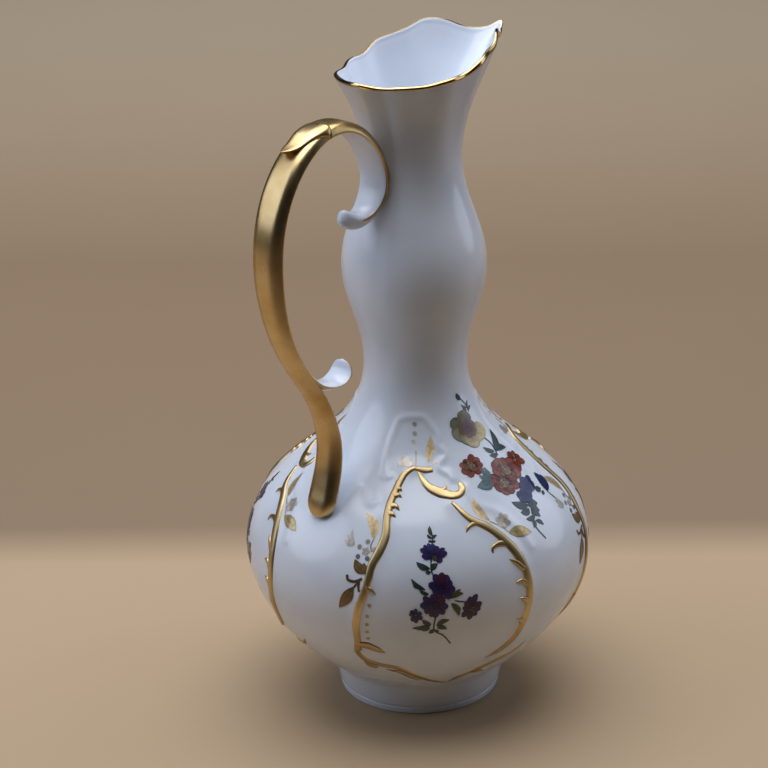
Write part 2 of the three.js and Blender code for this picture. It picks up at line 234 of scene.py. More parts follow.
def tubeFaces(rows, columns, first=0):
    end = first + (rows - 1) * columns
    caps = [tuple(range(first, first + columns))[::-1], tuple(range(end, end + columns))]
    return gridFaces(rows, columns, True, first) + caps


def meshPiece(name, points, faces, materials, faceSlots=None, tints=None):
    data = bpy.data.meshes.new(name)
    data.from_pydata(toRow(points).tolist(), [], faces)
    for material in materials:
        data.materials.append(material)
    if faceSlots is not None:
        data.polygons.foreach_set("material_index", np.asarray(faceSlots, np.int32))
    if tints is not None:
        layer = data.color_attributes.new("tint", "FLOAT_COLOR", "POINT")
        layer.data.foreach_set("color", np.asarray(tints, np.float32).ravel())
    data.polygons.foreach_set("use_smooth", np.ones(len(data.polygons), bool))
    data.update()
    piece = bpy.data.objects.new(name, data)
    scene.collection.objects.link(piece)
    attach(piece, "root")
    return piece


def weldPoles(piece):
    work = bmesh.new()
    work.from_mesh(piece.data)
    bmesh.ops.remove_doubles(work, verts=work.verts, dist=1e-7)
    bmesh.ops.recalc_face_normals(work, faces=work.faces)
    work.to_mesh(piece.data)
    work.free()


# vessel: foot, belly, neck and mouth are one glazed skin
vesselForm = {
    "wall": 3.0, "floorTop": 16.5, "bowlRound": 3.5, "bowlRise": 0.2, "bowlFlat": 14, "segments": 560,
    "bellyLow": [(31.5, 12.5), (50.1, 24.9), (62.2, 43.5), (62.2, 57)],
    "shoulder": [(62.2, 57), (62.2, 90.6), (18.4, 93.7), (18.4, 127.6)],
    "neckLow": [(18.4, 127.6), (18.4, 142.7), (25.5, 149.4), (25.5, 162.8)],
    "neckHigh": [(25.5, 162.8), (25.5, 177.3), (17.1, 185.5), (17.1, 202)],
    "flare": [(17.1, 202), (17.1, 214.7), (22.6, 225.8), (25.6, 234.4)],
    "underside": [(0, 11.2), (14, 11.2), (22, 11.0), (25.2, 9.6), (25.9, 5), (25.5, 1.4), (25.7, 0.3),
                  (26.2, 0.0)],
    "footWall": [(28.5, 0.0), (29.0, 0.15), (29.25, 0.6), (29.35, 1.4), (29.5, 2.2), (29.45, 2.5),
                 (29.25, 2.75), (29.5, 3.0), (29.75, 3.6), (30.2, 5.6), (30.7, 8.2), (31.1, 10.2)],
    "collar": [(31.4, 12.2), (34.0, 14.9)],
}
mouthForm = {
    "throat": 202.0, "rim": 235.5, "rimRadius": 25.6, "lipSeat": 234.4, "lipRise": 1.1, "lipWall": 1.7,
    "flutes": 10, "fluteDepth": 0.42, "outPower": 1.7, "risePower": 2.0,
    # degrees from the spout, then how far the rim stands out from and above a plain round mouth
    "course": [(0, 21.9, 4.6), (4, 18.4, 2.7), (9, 15.0, 2.7), (14, 12.0, 4.1), (19, 9.5, 6.0),
               (26, 6.7, 7.1), (34, 4.6, 6.7), (44, 3.3, 4.5), (56, 1.5, 3.3), (70, 0.1, 1.4),
               (84, -1.2, -1.1), (100, -1.4, -2.3), (118, -1.6, -3.3), (136, 0.2, -3.7), (156, 1.4, -3.9),
               (180, 2.4, -3.5)],
}


def mouthCourse():
    rows = np.array(mouthForm["course"], float)
    rows = np.vstack([rows[3:0:-1] * (-1, 1, 1), rows, rows[-2:-5:-1] * (-1, 1, 1) + (360, 0, 0)])
    dense = smoothLine(rows, 1400)
    return dense[np.argsort(dense[:, 0])]


def spreadMouth(points):
    form = mouthForm
    course = mouthCourse()
    moved = np.array(points, float)
    x, y, z = moved[:, 0], moved[:, 1], moved[:, 2]
    share = np.clip((z - form["throat"]) / (form["rim"] - form["throat"]), 0, 1)
    angle = np.arctan2(y, x)
    degrees = np.abs(np.degrees(angle))
    flute = form["fluteDepth"] * np.cos(form["flutes"] * angle)
    out = (np.interp(degrees, course[:, 0], course[:, 1]) + flute) * share ** form["outPower"]
    rise = (np.interp(degrees, course[:, 0], course[:, 2]) + 0.5 * flute) * share ** form["risePower"]
    radius = np.maximum(np.hypot(x, y), 1e-6)
    moved[:, 0] = x * (1 + out / radius)
    moved[:, 1] = y * (1 + out / radius)
    moved[:, 2] = z + rise
    return moved


def lineNormals(line):
    run = np.gradient(line, axis=0)
    normal = np.column_stack([run[:, 1], -run[:, 0]])
    return normal / np.maximum(np.linalg.norm(normal, axis=1), 1e-9)[:, None]


bellyLine = np.vstack([bezierLine(vesselForm["bellyLow"], 300), bezierLine(vesselForm["shoulder"], 500)[1:]])
bellyNormal = lineNormals(bellyLine)
bellyRun = np.concatenate([[0], np.cumsum(np.linalg.norm(np.diff(bellyLine, axis=0), axis=1))])


def radiusAt(height):
    return np.interp(height, bellyLine[:, 1], bellyLine[:, 0])


def runAt(height):
    return np.interp(height, bellyLine[:, 1], bellyRun)


def heightAt(run):
    return np.interp(run, bellyRun, bellyLine[:, 1])


# white moulded ridges around each panel: degrees from the panel's angle and heights
panelAngles = [231.0, 324.5, 50.0, 136.5]
stemLeft = [(-8.6, 98.7), (-12.3, 98.1), (-15.3, 97), (-17.4, 95.3), (-18.8, 93.4), (-20.1, 91.3),
            (-21, 88.9), (-21.2, 86.2), (-20.7, 81.3), (-22.1, 77.1), (-24.2, 72.7), (-25, 68),
            (-26.2, 62.9), (-28, 57.2), (-29, 51.5), (-29.5, 45.1), (-30, 39)]
stemRight = [(7.2, 89.4), (9, 88), (10.8, 86.4), (12.9, 84.8), (15.4, 83.5), (18.1, 82.3), (20.6, 80.6),
             (22.9, 78.4), (25, 75.8), (26.9, 72.6), (28.5, 68), (29.4, 62.5), (29.5, 57), (28.9, 51.5),
             (28.1, 45.7), (26.3, 39.8), (22.5, 35.6), (17.2, 32.6)]
mouldedRidges = [  # course, height, half width
    ([(-28, 96), (-28.6, 100.8), (-28.5, 103.5), (-28.4, 105.8), (-27.5, 107.5), (-26.1, 109.7),
      (-24.6, 111.7), (-20.1, 112.8), (-12.3, 113.2), (-5.8, 113.2), (-0.6, 112.6), (2.1, 111),
      (4.8, 109.7), (7.6, 107.7), (7.4, 106), (6.2, 104.7), (8, 103.6), (10.7, 102.5), (11, 101.3),
      (9.1, 100.5), (6, 99.7), (5.2, 98.5), (6.6, 97.5), (9.4, 96.6), (11.2, 95.2)], 0.34, 1.25),
    ([(-27.5, 97.5), (-25.4, 96), (-21.6, 96.4), (-19.4, 95.2)], 0.34, 1.4),
    ([(-43, 86.5), (-40.6, 90), (-36.5, 92.4), (-33, 91), (-30.4, 89.2), (-27, 90.4)], 0.26, 1.7),
    ([(16, 92), (19, 88), (25, 85.6), (31, 80), (34, 73)], 0.35, 1.6),
    (stemLeft, 0.4, 2.8),
    (stemRight, 0.4, 2.8),
]
ridgeReach = {"turn": 48, "low": 24, "high": 118}  # the belly is plain beyond these


def flatCourse(course, count):
    course = np.asarray(course, float)
    flat = np.column_stack([np.radians(course[:, 0]) * radiusAt(course[:, 1]), runAt(course[:, 1])])
    return smoothLine(flat, count)


def distanceTo(line, x, y):
    best = np.full(x.shape, 1e9)
    for (ax, ay), (bx, by) in zip(line[:-1], line[1:]):
        dx, dy = bx - ax, by - ay
        share = np.clip(((x - ax) * dx + (y - ay) * dy) / (dx * dx + dy * dy + 1e-12), 0, 1)
        best = np.minimum(best, np.hypot(x - ax - share * dx, y - ay - share * dy))
    return best


ridgeLines = [(flatCourse(course, 60), rise, width) for course, rise, width in mouldedRidges]


def liftAt(turn, height):
    turn, height = np.broadcast_arrays(np.asarray(turn, float), np.asarray(height, float))
    lift = np.zeros(turn.shape)
    inHeight = (height > ridgeReach["low"]) & (height < ridgeReach["high"])
    for panel in panelAngles:
        away = (turn - panel + 180) % 360 - 180
        near = inHeight & (np.abs(away) < ridgeReach["turn"])
        if not near.any():
            continue
        x = np.radians(away[near]) * radiusAt(height[near])
        y = runAt(height[near])
        raised = np.zeros(x.shape)
        for line, rise, width in ridgeLines:
            raised = np.maximum(raised, rise * np.exp(-(distanceTo(line, x, y) / width) ** 2))
        lift[near] = np.maximum(lift[near], raised)
    return lift


def onBelly(turn, height, out):
    turn = np.asarray(turn, float)
    height = np.asarray(height, float)
    raised = liftAt(turn, height) + out
    radius = radiusAt(height) + np.interp(height, bellyLine[:, 1], bellyNormal[:, 0]) * raised
    up = height + np.interp(height, bellyLine[:, 1], bellyNormal[:, 1]) * raised
    return np.column_stack([radius * np.cos(np.radians(turn)), radius * np.sin(np.radians(turn)), up])


def fromFlat(panel, x, run, out):
    height = heightAt(run)
    turn = panel + np.degrees(x / radiusAt(height))
    return onBelly(turn, height, out)


def lipArc(turn):
    mouth = mouthForm
    return np.column_stack([mouth["rimRadius"] - mouth["lipWall"] / 2 * (1 - np.cos(turn)),
                            mouth["lipSeat"] + mouth["lipRise"] * np.sin(turn)])


def makeVessel():
    form, mouth = vesselForm, mouthForm
    upper = ("neckLow", "neckHigh", "flare")
    bellyLow = bezierLine(form["bellyLow"], 60)
    collarEnd = 8  # the step of the lower belly where the foot's collar runs out
    collar = bezierLine([form["footWall"][-1], *form["collar"], tuple(bellyLow[collarEnd])], 14)[1:]
    outside = np.vstack([
        smoothLine(form["underside"], 34),
        smoothLine(form["footWall"], 60),
        collar,
        bellyLow[collarEnd + 1:],
        bezierLine(form["shoulder"], 150)[1:],
        *[bezierLine(form[part], 34)[1:] for part in upper],
    ])
    lip = lipArc(np.linspace(0, math.pi, 13)[1:-1])
    wallLine = np.vstack([bezierLine(form["bellyLow"], 40), bezierLine(form["shoulder"], 60)[1:],
                          *[bezierLine(form[part], 24)[1:] for part in upper]])
    thickness = np.interp(wallLine[:, 1], [mouth["throat"], mouth["lipSeat"]],
                          [form["wall"], mouth["lipWall"]])
    inside = wallLine - lineNormals(wallLine) * thickness[:, None]
    inside[-1] = (mouth["rimRadius"] - mouth["lipWall"], mouth["lipSeat"])
    inside = inside[inside[:, 1] > form["floorTop"] + 1][::-1]
    bowl = smoothLine([inside[-1], (inside[-1][0] - form["bowlRound"], form["floorTop"] + form["bowlRise"]),
                       (form["bowlFlat"], form["floorTop"]), (0, form["floorTop"])], 16)[1:]
    profile = np.vstack([outside, lip, inside, bowl])
    normals = lineNormals(profile)
    angles = np.linspace(0, 2 * math.pi, form["segments"], endpoint=False)
    rows = []
    for index, (radius, height) in enumerate(profile):
        raised = np.zeros(len(angles))
        if index < len(outside) and ridgeReach["low"] < height < ridgeReach["high"]:
            raised = liftAt(np.degrees(angles), np.full(len(angles), height))
        ring = np.column_stack([
            (radius + normals[index, 0] * raised) * np.cos(angles),
            (radius + normals[index, 0] * raised) * np.sin(angles),
            height + normals[index, 1] * raised,
        ])
        rows.append(ring)
    points = spreadMouth(np.vstack(rows))
    vessel = meshPiece("vesselWall", points, gridFaces(len(profile), len(angles), True), [porcelain])
    weldPoles(vessel)
    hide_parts("foot_ring", "belly", "neck")


makeVessel()
print("vessel ready")


# gilt lip: a thin skin of gold brushed along the mouth's outer edge and over its crest
lipForm = {"down": 0.45, "taper": 0.36, "proud": 0.1, "sunk": 0.12, "over": 0.62, "segments": 480}


def makeLip():
    form = lipForm
    radius, seat, down = mouthForm["rimRadius"], mouthForm["lipSeat"], form["down"]
    outer = [(radius - form["taper"] * drop, seat - drop) for drop in (down, down / 2)]
    path = np.vstack([outer, lipArc(np.linspace(0, math.pi * form["over"], 11))])
    normals = lineNormals(path)
    section = np.vstack([path + normals * form["proud"], (path - normals * form["sunk"])[::-1]])
    angles = np.linspace(0, 2 * math.pi, form["segments"], endpoint=False)
    points = np.vstack([np.column_stack([r * np.cos(angles), r * np.sin(angles), np.full(len(angles), z)])
                        for r, z in np.vstack([section, section[:1]])])
    lip = meshPiece("giltLip", spreadMouth(points), gridFaces(len(section) + 1, len(angles), True), [rimGold])
    weldPoles(lip)
    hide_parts("gilt_lip")


makeLip()

# handle: a strap with a crowned gold face outside and a white glazed face inside, thin at both edges
strapForm = {
    "seat": -19.55, "seatHeight": 197.5, "edge": 1.6, "crown": 2.2, "inside": 0.8, "square": 0.7,
    "goldEdge": 0.95, "steps": 320, "sides": 64,
    "roundStart": 0.026, "roundEnd": 0.03, "thinning": 0.8, "whiteTip": 0.036, "whiteFade": 2.4,
    "paleEdge": 0.9, "paleReach": 0.09,
    "course": [(16.2, -8.2), (13.6, -10.3), (9.8, -11.6), (5.4, -10.3), (1.5, -5.9), (0, 0), (1.6, 6.7),
               (5.8, 13.7), (11.7, 18.9), (19.2, 21.5), (28.2, 20.5), (37.2, 14.9), (44.2, 6.3),
               (48.8, -4.2), (50.8, -16.5), (50, -30.7), (46.1, -45.3), (39.4, -57.4), (33.2, -63.9),
               (27.6, -66.7), (22.0, -67.0), (18.2, -64.5), (17.4, -60.2)],
    # along the strap: its width, its thickness as a share and how square its crown is
    "widths": [(0, 6.4), (0.02, 7.2), (0.045, 8.8), (0.08, 11.5), (0.12, 12.6), (0.2, 12.8), (0.32, 12.4),
               (0.4, 13.2), (0.64, 13.2), (0.76, 11.4), (0.86, 10.2), (1, 10.4)],
    "bodies": [(0, 1.5), (0.02, 1.45), (0.045, 1.05), (0.08, 0.88), (0.12, 1), (0.84, 1), (0.93, 0.6),
               (1, 0.3)],
    "powers": [(0, 2.5), (0.1, 5.5), (0.16, 6.5), (0.5, 6.5), (0.62, 4.2), (0.74, 2.3), (1, 2.1)],
}
rootForm = {
    "steps": 160, "roundStart": 0.02, "roundEnd": 0.1, "thinning": 0.5, "whiteTip": 0.0,
    "course": [(-62.7, 146.1), (-60.0, 141.35), (-55.4, 134.75), (-51.0, 128.4), (-46.6, 118.9),
               (-44.4, 109.9), (-44.7, 101.2), (-47.0, 92.4), (-50.6, 82.3)],
    "widths": [(0, 8.6), (0.05, 10.2), (0.1, 10.4), (0.2, 10.3), (0.42, 10.8), (0.7, 11.6), (0.92, 12.4),
               (1, 12.4)],
    "bodies": [(0, 0.6), (0.05, 0.85), (0.09, 1.02), (0.28, 1.12), (1, 1.12)],
    "powers": [(0, 2.1), (0.45, 2.3), (0.68, 3.6), (1, 6.5)],
}
leafForm = {
    "head": 0.331, "tip": 0.416, "steps": 70, "across": 25, "crownPower": 6.5, "thickness": 0.95,
    "under": 1.4, "gap": 0.1, "tipLift": 2.4, "liftFrom": 0.383, "lean": 0.9, "roundHead": 0.1,
    "headFull": 0.15, "sinkEnd": 0.45, "sinkSide": 0.25, "freeFrom": 0.6, "freeShare": 0.35,
    "halfWidths": [(0, 4.6), (0.06, 6.2), (0.14, 6.75), (0.3, 5.9), (0.48, 4.9), (0.66, 4.0), (0.82, 3.2),
                   (0.93, 2.2), (1, 0.5)],
}


def readCourse(rows, share, samples=501, blur=25):
    rows = np.array(rows, float)
    even = np.linspace(0, 1, samples)
    value = np.pad(np.interp(even, rows[:, 0], rows[:, 1]), blur // 2, mode="edge")
    return np.interp(share, even, np.convolve(value, np.full(blur, 1 / blur), "valid"))


def strapRing(turn, width, body, power):
    form = strapForm
    across = np.sign(np.cos(turn)) * np.abs(np.cos(turn)) ** form["square"]
    edge = 0.5 * form["edge"] * np.sign(np.sin(turn)) * np.abs(np.sin(turn)) ** form["square"]
    swell = np.where(np.sin(turn) > 0, form["crown"] * (1 - np.abs(across) ** power),
                     -form["inside"] * (1 - across ** 2))
    return across * width / 2, (edge + swell) * body


def strapFrame(line):
    run = np.gradient(line, axis=0)
    run /= np.linalg.norm(run, axis=1)[:, None]
    return np.column_stack([run[:, 1], -run[:, 0]])


def tipFullness(share, start, end, least=0.03):
    first = np.minimum(1, share / start)
    last = np.minimum(1, (1 - share) / end)
    return np.maximum(least, np.sqrt(1 - (1 - first) ** 2) * np.sqrt(1 - (1 - last) ** 2))


def strapPiece(name, form, line):
    sides, count, whiteTip = strapForm["sides"], form["steps"], form["whiteTip"]
    share = np.linspace(0, 1, count)
    fullness = tipFullness(share, form["roundStart"], form["roundEnd"])
    widths = readCourse(form["widths"], share) * fullness
    bodies = readCourse(form["bodies"], share) * fullness ** form["thinning"]
    powers = readCourse(form["powers"], share)
    outward = strapFrame(line)
    turn = 2 * math.pi * (np.arange(sides) + 0.5) / sides
    points, slots = [], []
    for index in range(count):
        across, upward = strapRing(turn, widths[index], bodies[index], powers[index])
        points.append(np.column_stack([line[index, 0] + outward[index, 0] * upward, -across,
                                       line[index, 1] + outward[index, 1] * upward]))
    fade = strapForm["whiteFade"]
    for row in range(count - 1):
        along = row / (count - 1)
        thin = max(0.0, (fade * whiteTip - along) / ((fade - 1) * whiteTip + 1e-9))
        for side in range(sides):
            middle = 2 * math.pi * (side + 1) / sides
            across = abs(math.cos(middle)) ** strapForm["square"]
            inner = middle > math.pi and across < strapForm["goldEdge"]
            # gold keeps to the edge near the curl's end
            pale = thin > 0 and across < strapForm["paleEdge"] + strapForm["paleReach"] * thin
            slots.append(1 if inner or pale or along < whiteTip else 0)
    slots += [1 if whiteTip else 0, 0]
    piece = meshPiece(name, np.vstack(points), tubeFaces(count, sides), [gold, porcelain], slots)
    weldPoles(piece)
    return piece


def strapLine():
    form = strapForm
    course = [(form["seat"] - out, form["seatHeight"] + rise) for out, rise in form["course"]]
    return smoothLine(course, form["steps"])


def makeHandle():
    strap = strapPiece("handleStrap", strapForm, strapLine())
    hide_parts("handle_strap")
    root = strapPiece("handleRoot", rootForm, smoothLine(rootForm["course"], rootForm["steps"]))
    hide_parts("handle_root")


def makeLeaf():
    form = leafForm
    line = strapLine()
    outward = strapFrame(line)
    along = np.linspace(0, 1, len(line))
    part = np.linspace(0, 1, form["steps"])
    share = form["head"] + (form["tip"] - form["head"]) * part
    place = np.column_stack([np.interp(share, along, line[:, k]) for k in (0, 1)])
    out = np.column_stack([np.interp(share, along, outward[:, k]) for k in (0, 1)])
    half = readCourse(form["halfWidths"], part)
    strapHalf = readCourse(strapForm["widths"], share) / 2
    lift = form["tipLift"] * np.clip((share - form["liftFrom"]) / (form["tip"] - form["liftFrom"]), 0, 1) ** 2
    across = np.linspace(-1, 1, form["across"])
    points = []
    for index in range(form["steps"]):
        y = across * half[index] + form["lean"] * part[index] ** 2
        on = np.clip(np.abs(y) / strapHalf[index], 0, 1.15)
        base = strapForm["edge"] / 2 + strapForm["crown"] * (1 - on ** form["crownPower"])
        grown = min(1.0, part[index] / form["roundHead"])
        full = min(1.0, math.sqrt(max(0.0, 1 - (1 - grown) ** 2)) + form["headFull"])
        sink = 1 - max(0.0, 1 - part[index] / form["sinkEnd"]) * np.clip(form["sinkSide"] + across, 0, 1)
        top = base + lift[index] + form["thickness"] * full * sink * (1 - np.abs(across) ** 5) ** 0.5
        depth = form["under"] * (form["freeShare"] if lift[index] > form["freeFrom"] else 1.0)
        low = base + lift[index] - form["gap"] - depth * (1 - across ** 2)
        ring = np.vstack([np.column_stack([y, top]), np.column_stack([y, low])[-2:0:-1]])
        points.append(np.column_stack([place[index, 0] + out[index, 0] * ring[:, 1], ring[:, 0],
                                       place[index, 1] + out[index, 1] * ring[:, 1]]))
    leaf = meshPiece("handleLeaf", np.vstack(points), tubeFaces(form["steps"], len(points[0])), [gold])
    weldPoles(leaf)
    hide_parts("handle_leaf")


makeHandle()
makeLeaf()
print("handle ready")


# raised gilt scrolls: flat-topped strokes and leaves that lie on the belly
reliefLook = {"sunk": -0.2, "across": 13, "flatness": 4.4, "endFill": 1.6, "endLeast": 0.1}
# each stroke: its course in degrees from the panel and heights, its widths, its height and its steps
panelScrolls = {
    "stem_left": [
        (stemLeft, [1.8, 2.5, 2.7, 2.9, 3.2, 3.3, 3.0, 2.8, 3.0, 3.2, 2.9, 2.2], 0.55, 120),
        ([(-9.6, 98.4), (-3.8, 98.0), (0.8, 98.1)], [1.6, 2.5, 2.7, 2.4], 0.45, 20),
        ([(-19, 93.2), (-17.5, 93.2), (-16.1, 92.6)], [2.4, 2.0, 0.5], 0.6, 14),
        ([(-19.8, 91.4), (-17.8, 91.7), (-15.9, 91.1)], [2.6, 2.2, 0.5], 0.6, 14),
        ([(-20.4, 88.9), (-18.4, 89), (-16.4, 87.9)], [2.8, 2.3, 0.5], 0.6, 14),
        ([(-20.9, 86.8), (-19.4, 87), (-17.6, 86.1)], [2.4, 2.0, 0.5], 0.6, 14),
        ([(-25.4, 65.6), (-23.8, 64.8), (-22.1, 63.2)], [2.2, 1.5, 0.3], 0.6, 14),
        ([(-30.2, 42.4), (-27.4, 42), (-24.4, 40.8), (-20.2, 38.4)], [2.6, 3.8, 3.0, 0.4], 0.6, 30),
    ],
    "leaf_scroll": [
        ([(-8.2, 98), (-5.4, 95.6), (-2.4, 93.7), (1.4, 92.5), (5.5, 91.6), (9.2, 91), (12.5, 91.3),
          (14.3, 92.4), (13.9, 94.1)], [0.8, 2.0, 3.0, 3.9, 4.3, 3.8, 3.3, 3.0, 1.6], 0.55, 70),
        ([(-3.4, 94.4), (0, 93.5), (3.4, 92.7), (5.8, 93.2), (7, 94.2)], [0.6, 1.8, 2.3, 1.7, 0.4], 0.5, 26),
        ([(6.4, 91.4), (9, 91.6), (11.2, 91.7)], [1.2, 1.8, 0.6], 0.5, 18),
    ],
    "stem_right": [
        (stemRight, [1.4, 2.5, 3.0, 3.1, 3.5, 3.6, 3.4, 3.3, 3.1, 2.8, 2.4, 1.0], 0.55, 120),
        ([(16.2, 83.2), (13.4, 83.2), (11.3, 82.5), (10, 81.3)], [2.2, 2.0, 1.6, 0.4], 0.5, 20),
        ([(25, 75.9), (22, 76.6), (19.9, 76.5), (18.4, 75.8), (18.2, 74.5)],
         [2.8, 2.5, 2.1, 1.7, 0.8], 0.5, 30),
        ([(28.2, 67.2), (25.8, 69.9), (23.3, 71.6)], [2.2, 1.8, 0.3], 0.6, 16),
        ([(29.2, 61), (26.8, 63.6), (24.6, 63.2)], [2.2, 1.8, 0.6], 0.6, 16),
        ([(29, 54.8), (27.4, 56.6), (25.6, 57.2)], [2.4, 2.0, 0.5], 0.6, 14),
        ([(28.4, 45.6), (27, 47.8), (25.2, 49)], [2.4, 2.0, 0.5], 0.6, 14),
    ],
    "garland": [
        ([(-30.4, 43), (-31.2, 37.6), (-29.2, 33.3), (-24.9, 31.5), (-17.2, 30), (-10.8, 25.2),
          (-3.3, 20.8), (3, 18.4), (8.8, 17.2)], [1.4, 2.4, 2.5, 2.2, 2.1, 2.3, 2.2, 0.8], 0.5, 80),
        ([(-29.8, 33.4), (-28.4, 30), (-25.6, 29.2)], [1.2, 2.6, 1.4], 0.45, 18),
        ([(-22.4, 28.4), (-17.4, 27.6), (-12.8, 24), (-8, 20.6)], [0.6, 1.9, 1.6, 0.5], 0.45, 28),
        ([(6.6, 17.6), (11, 21.6), (17.6, 25.2), (24, 28), (31.2, 29.8), (36.5, 33.9)],
         [0.6, 2.2, 2.4, 2.3, 1.8, 0.6], 0.45, 50),
        ([(16.4, 22), (20.4, 22.8), (24.6, 22.6)], [0.4, 1.4, 0.3], 0.55, 16),
    ],
}


# a strip along a flat line: places across it and its width at each step
def ribbon(line, widths, across):
    run = np.gradient(line, axis=0)
    run /= np.maximum(np.linalg.norm(run, axis=1), 1e-9)[:, None]
    width = np.interp(np.linspace(0, 1, len(line)), np.linspace(0, 1, len(widths)), widths)[:, None]
    return line[:, :1] - run[:, 1:] * across * width / 2, line[:, 1:] + run[:, :1] * across * width / 2, width


def addStroke(store, panel, course, widths, height, count):
    look = reliefLook
    across = np.cos(np.linspace(0, math.pi, look["across"]))
    x, y, width = ribbon(flatCourse(course, count), widths, across)
    full = np.clip(width / max(widths) * look["endFill"], look["endLeast"], 1)  # thin ends lie lower
    rise = 1 - np.abs(across) ** look["flatness"]
    out = look["sunk"] + (height - look["sunk"]) * rise * full
    first = len(store["points"])
    store["points"].extend(fromFlat(panel, x.ravel(), y.ravel(), out.ravel()).tolist())
    store["faces"] += tubeFaces(count, look["across"], first)


def reliefPiece(name, strokes, panel, node):
    store = {"points": [], "faces": []}
    for stroke in strokes:
        addStroke(store, panel, *stroke)
    piece = meshPiece(name, store["points"], store["faces"], [reliefGold])
    weldPoles(piece)
    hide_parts(node)


for number, panel in enumerate(panelAngles, 1):
    for part, strokes in panelScrolls.items():
        words = part.split("_")
        name = words[0] + "".join(word.title() for word in words[1:])
        reliefPiece(f"{name}{number}", strokes, panel, f"{part}_{number}")
print("raised scrolls ready")


# painted flowers: thin films of enamel on the glaze, each petal and leaf its own brush stroke
# places are millimetres to the right and up from the spray's own point on the belly
paintLook = {"film": 0.04, "layerStep": 0.0045, "layers": 60, "across": 7, "thickness": 0.05,
             "creaseDegrees": 30, "edgeShare": 0.75, "endShare": 0.5, "veinShare": 0.7, "veinWidth": 0.2,
             "petalBend": 0.08, "petalVary": 0.1}
leafWidths = [0.12, 0.62, 0.95, 1.0, 0.85, 0.5, 0.05]
petalWidths = [0.3, 0.62, 0.9, 1.02, 1.0, 0.8, 0.3]


def newSpray(turn, height):
    return {"turn": turn, "run": float(runAt(height)), "points": [], "faces": [], "tints": [], "layer": 0}


def mixTint(first, second, share):
    return first + (second - first) * np.clip(share, 0, 1)[..., None]


def addBrush(spray, course, widths, tints, count=14):
    look = paintLook
    across = np.linspace(-1, 1, look["across"])
    x, y, _ = ribbon(smoothLine(course, count), widths, across)
    codes = tints.split()
    base, tip, edge, vein = [np.array(hexColour(code)) for code in codes * (4 // len(codes))]
    along = np.broadcast_to(np.linspace(0, 1, count)[:, None], x.shape)
    colour = mixTint(base, tip, along)
    colour = mixTint(colour, edge, look["edgeShare"] * np.abs(across) ** 3 + look["endShare"] * along ** 8)
    middle = np.exp(-(across / look["veinWidth"]) ** 2)
    colour = mixTint(colour, vein, look["veinShare"] * middle * (1 - along))
    out = look["film"] + look["layerStep"] * (spray["layer"] % look["layers"])
    spray["layer"] += 1
    first = len(spray["points"])
    placed = fromFlat(spray["turn"], x.ravel(), spray["run"] + y.ravel(), np.full(x.size, out))
    spray["points"].extend(placed.tolist())
    spray["tints"].extend(colour.reshape(-1, 4).tolist())
    spray["faces"] += gridFaces(count, look["across"], False, first)


def pick(tints, names):
    return [tints[name] for name in names.split()]


# each leaf: where it starts, where it ends and its width
def addLeaves(spray, leaves, tints, bow=0.12):
    for *ends, width in leaves:
        start, end = np.array(ends, float).reshape(2, 2)
        along = end - start
        middle = (start + end) / 2 + np.array([-along[1], along[0]]) * bow
        addBrush(spray, [start, middle, end], [w * width for w in leafWidths], tints)


def addStem(spray, course, width, tint):
    addBrush(spray, course, [width, width * 1.1, width], tint, count=6 * len(course))


def addPetals(spray, centre, tips, width, tints, start=0.12):
    centre = np.array(centre, float)
    bow, vary = paintLook["petalBend"], paintLook["petalVary"]
    for index, tip in enumerate(tips):
        aim = np.array(tip, float) - centre
        bend = np.array([-aim[1], aim[0]]) * dice.uniform(-bow, bow)
        wide = width * dice.uniform(1 - vary, 1 + vary)
        addBrush(spray, [centre + aim * start, centre + aim * 0.6 + bend, centre + aim],
                 [w * wide for w in petalWidths], tints[index % len(tints)], count=12)


def addRing(spray, centre, reach, count, width, tints, turn=0.0, start=0.12):
    angles = turn + 2 * math.pi * np.arange(count) / count
    tips = [(centre[0] + reach * math.cos(a), centre[1] + reach * math.sin(a)) for a in angles]
    addPetals(spray, centre, tips, width, tints, start)


def addDot(spray, centre, radius, tint):
    centre = np.array(centre, float)
    widths = [2 * radius * math.sqrt(max(0.02, 1 - t * t)) for t in np.linspace(-1, 1, 9)]
    addBrush(spray, [centre - (radius, 0), centre, centre + (radius, 0)], widths, tint, count=9)


def sprayPiece(name, spray, material):
    piece = meshPiece(name, spray["points"], spray["faces"], [material], None, spray["tints"])
    film = piece.modifiers.new("film", "SOLIDIFY")
    film.thickness = paintLook["thickness"] * mm
    film.offset = -1
    crisp = piece.modifiers.new("crispEdge", "EDGE_SPLIT")  # the paint's face stays flat up to its edge
    crisp.split_angle = math.radians(paintLook["creaseDegrees"])


# tints of a stroke: its root, its tip, its edges and its middle vein, or one tint for all four
violetTints = {
    "indigo": "231E42 3C3868 25204A 181430",
    "blue": "24244C 404274 262852 191938",
    "plum": "301F40 4A3862 2E2146 1C1026",
    "wine": "43202F 5A3448 37203A 26101C",
    "heart": "7A4A38 8E6440 562E30 3E2024",
    "leaf": "2B3832 48584A 27322C 1B231F",
    "olive": "4A4C30 68663E 3C3E28 2C2E1E",
}


